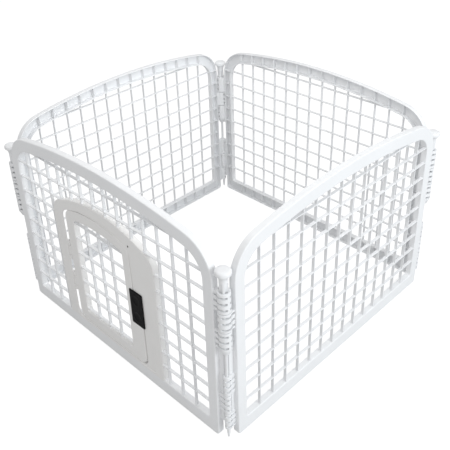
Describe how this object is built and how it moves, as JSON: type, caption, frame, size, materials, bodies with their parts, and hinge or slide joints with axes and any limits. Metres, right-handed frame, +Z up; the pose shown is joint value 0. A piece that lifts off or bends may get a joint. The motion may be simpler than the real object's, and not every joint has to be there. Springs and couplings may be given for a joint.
{
  "type": "folding pet playpen",
  "caption": "Square free-standing pet pen of white lattice panels with arched tops, drop-in corner rods and an arched door with a black slide latch.",
  "frame": {"origin": "on the floor, at the middle of the square pen", "axes": "+Z up; -Y out through the panel with the door; +X to the right as seen facing the door from outside"},
  "size_m": [0.8916, 0.8916, 0.6029],
  "materials": {
    "panel_plastic": "white moulded polypropylene, satin with a faint moulded texture",
    "rod_plastic": "white moulded polypropylene, satin, a little smoother than the panels",
    "latch_plastic": "black moulded plastic, low gloss",
    "pin_steel": "plain drawn steel wire",
    "screw_steel": "bright plated steel"
  },
  "bodies": {
    "door_panel": {"door_panel": "panel_plastic", "door_hinge_pin_upper": "pin_steel", "door_hinge_pin_lower": "pin_steel"},
    "right_panel": {"right_panel": "panel_plastic"},
    "back_panel": {"back_panel": "panel_plastic"},
    "left_panel": {"left_panel": "panel_plastic"},
    "door": {"door_leaf": "panel_plastic"},
    "latch": {"latch_slide": "latch_plastic", "latch_backplate": "latch_plastic", "latch_screw_lower": "screw_steel", "latch_screw_upper": "screw_steel"},
    "rod_front_right": {"corner_rod_front_right": "rod_plastic"},
    "rod_back_right": {"corner_rod_back_right": "rod_plastic"},
    "rod_back_left": {"corner_rod_back_left": "rod_plastic"},
    "rod_front_left": {"corner_rod_front_left": "rod_plastic"}
  },
  "joints": [
    {"name": "fold_front_right", "type": "hinge", "parent": "door_panel", "child": "right_panel", "pos_m": [0.4265, -0.4265, 0], "axis": [0, 0, 1], "range_deg": [-70, 70]},
    {"name": "fold_back_right", "type": "hinge", "parent": "right_panel", "child": "back_panel", "pos_m": [0.4265, 0.4265, 0], "axis": [0, 0, 1], "range_deg": [-70, 70]},
    {"name": "fold_back_left", "type": "hinge", "parent": "back_panel", "child": "left_panel", "pos_m": [-0.4265, 0.4265, 0], "axis": [0, 0, 1], "range_deg": [-70, 70]},
    {"name": "door_swing", "type": "hinge", "parent": "door_panel", "child": "door", "pos_m": [-0.1685, -0.4377, 0], "axis": [0, 0, -1], "range_deg": [0, 105]},
    {"name": "latch_lift", "type": "slide", "parent": "door", "child": "latch", "axis": [0, 0, 1], "range_m": [0, 0.014]},
    {"name": "pull_rod_front_right", "type": "slide", "parent": "door_panel", "child": "rod_front_right", "axis": [0, 0, 1], "range_m": [0, 0.48]},
    {"name": "pull_rod_back_right", "type": "slide", "parent": "right_panel", "child": "rod_back_right", "axis": [0, 0, 1], "range_m": [0, 0.48]},
    {"name": "pull_rod_back_left", "type": "slide", "parent": "back_panel", "child": "rod_back_left", "axis": [0, 0, 1], "range_m": [0, 0.48]},
    {"name": "pull_rod_front_left", "type": "slide", "parent": "door_panel", "child": "rod_front_left", "axis": [0, 0, 1], "range_m": [0, 0.48]}
  ],
  "couplings": [
    {"joint": "fold_back_right", "follows": "fold_front_right", "ratio": -1},
    {"joint": "fold_back_left", "follows": "fold_front_right", "ratio": 1}
  ]
}
